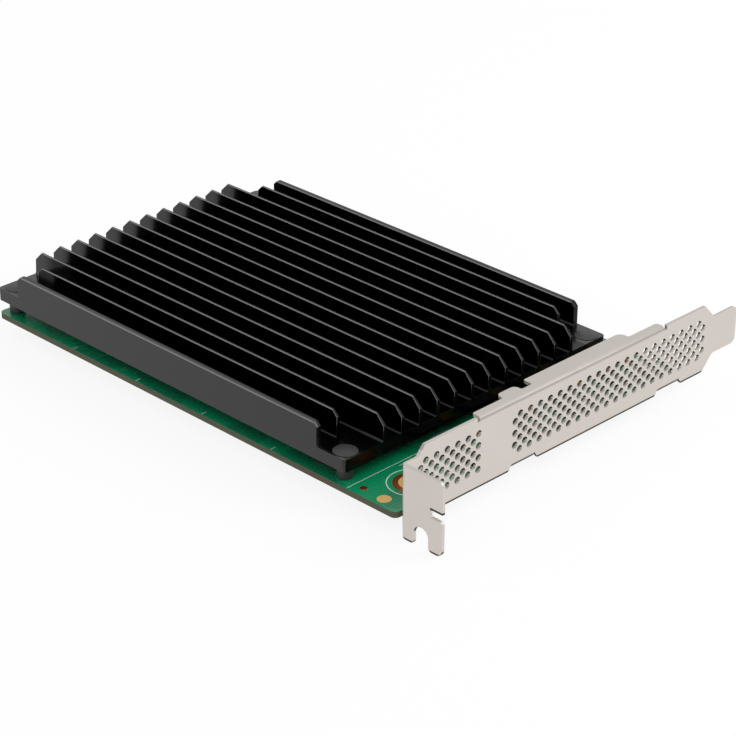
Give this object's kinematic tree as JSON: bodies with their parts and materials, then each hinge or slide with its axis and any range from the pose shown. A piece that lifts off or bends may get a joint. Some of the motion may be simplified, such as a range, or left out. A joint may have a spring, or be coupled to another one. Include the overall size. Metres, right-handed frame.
{
  "type": "nvme adapter card",
  "caption": "Full-height expansion card with a wide black finned heatsink over its module bays, a vented steel bracket and a green circuit board.",
  "frame": {"origin": "middle of the key notch on the contact edge, at half the board's thickness", "axes": "+X along the card towards the bracket, +Y the way the contact edge goes into its slot, +Z off the component side"},
  "size_m": [0.1586, 0.1208, 0.0216],
  "materials": {
    "solder_mask": "green solder mask over woven glass board, tan cut edges",
    "gold_plate": "hard gold plating, smooth",
    "bracket_steel": "nickel-plated sheet steel, satin",
    "zinc_screw": "plated steel, bright",
    "black_anodised": "black anodised extrusion, semi-gloss, bright cut edges",
    "black_screw": "black oxide steel",
    "brass_post": "plain turned brass",
    "thermal_pad": "soft grey silicone sheet",
    "socket_plastic": "black glass-filled moulding",
    "inductor_moulding": "dark grey pressed powder",
    "capacitor_moulding": "ochre moulded case",
    "black_epoxy": "black moulded package",
    "ceramic": "tan ceramic body with tinned ends",
    "lamp_resin": "clear cast resin"
  },
  "bodies": {
    "root": {"circuit_board": "solder_mask", "edge_contacts_component_side": "gold_plate", "edge_contacts_solder_side": "gold_plate", "bracket": "bracket_steel", "bracket_screws": "zinc_screw", "heatsink": "black_anodised", "heatsink_screws": "black_screw", "heatsink_posts": "black_screw", "module_posts": "brass_post", "module_screws": "zinc_screw", "clock_buffer": "black_epoxy", "crystal": "zinc_screw", "identity_memory": "black_epoxy", "lane_capacitors": "ceramic", "chip_capacitors": "ceramic", "status_leds": "lamp_resin", "module_socket_1": "socket_plastic", "thermal_pad_1": "thermal_pad", "power_inductor_1": "inductor_moulding", "regulator_1": "black_epoxy", "bulk_capacitor_1": "capacitor_moulding", "module_socket_2": "socket_plastic", "thermal_pad_2": "thermal_pad", "power_inductor_2": "inductor_moulding", "regulator_2": "black_epoxy", "bulk_capacitor_2": "capacitor_moulding", "module_socket_3": "socket_plastic", "thermal_pad_3": "thermal_pad", "power_inductor_3": "inductor_moulding", "regulator_3": "black_epoxy", "bulk_capacitor_3": "capacitor_moulding", "module_socket_4": "socket_plastic", "thermal_pad_4": "thermal_pad", "power_inductor_4": "inductor_moulding", "regulator_4": "black_epoxy", "bulk_capacitor_4": "capacitor_moulding"}
  },
  "joints": []
}
